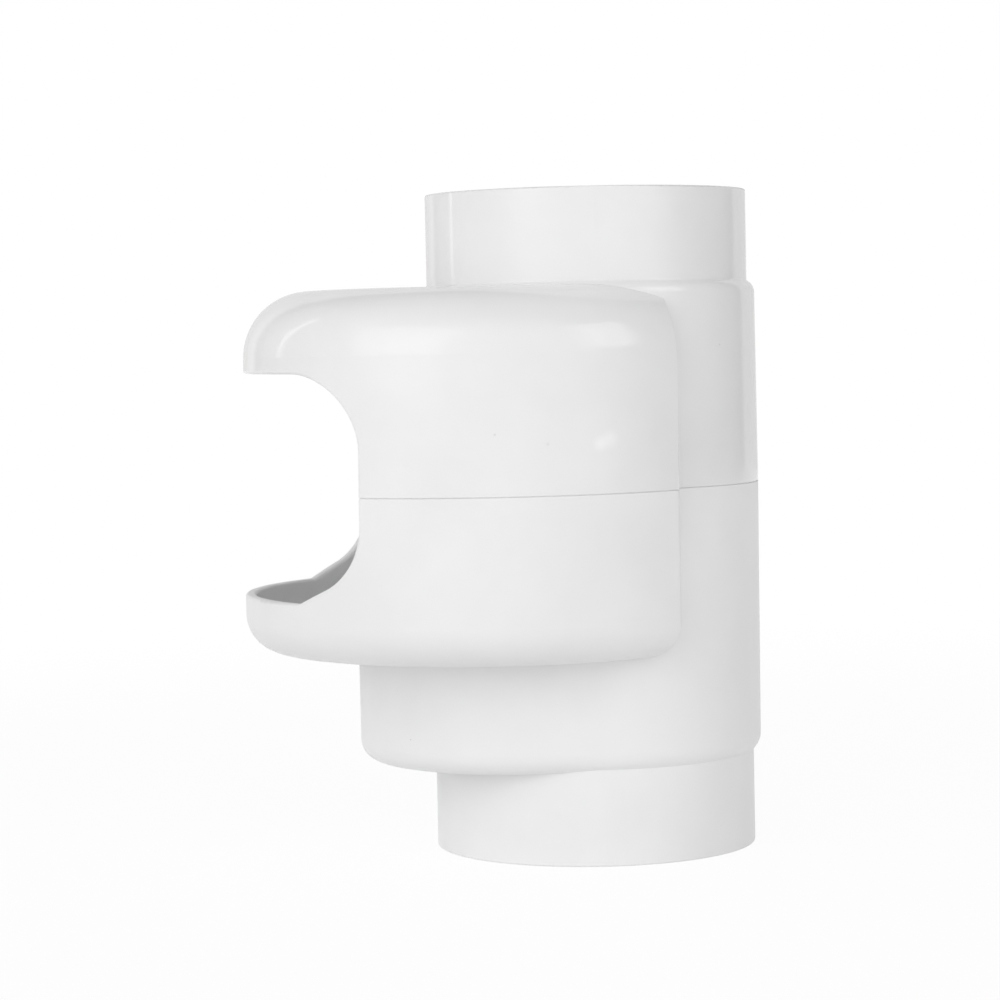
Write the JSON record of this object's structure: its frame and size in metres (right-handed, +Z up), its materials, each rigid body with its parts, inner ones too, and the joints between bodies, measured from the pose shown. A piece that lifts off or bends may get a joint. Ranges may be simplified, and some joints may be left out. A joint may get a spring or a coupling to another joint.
{
  "type": "tank air gap fitting",
  "caption": "White plastic tank air gap fitting: water drops from a pipe socket on top, past an open hooded mouth, into a cup and chamber above a second pipe socket.",
  "frame": {"origin": "on the pipe axis at the outlet socket's lower rim, which the part stands on; the socket's plain bore starts 0.8 mm above it", "axes": "+Z up along the axis of both sockets, -Y out of the mouth, X across the mouth; the part is symmetric about X = 0"},
  "size_m": [0.152, 0.1564, 0.1976],
  "materials": {
    "upper_pvc": "gloss",
    "lower_pvc": "satin"
  },
  "bodies": {
    "root": {"upper_shell": "upper_pvc", "lower_shell": "lower_pvc"}
  },
  "joints": []
}
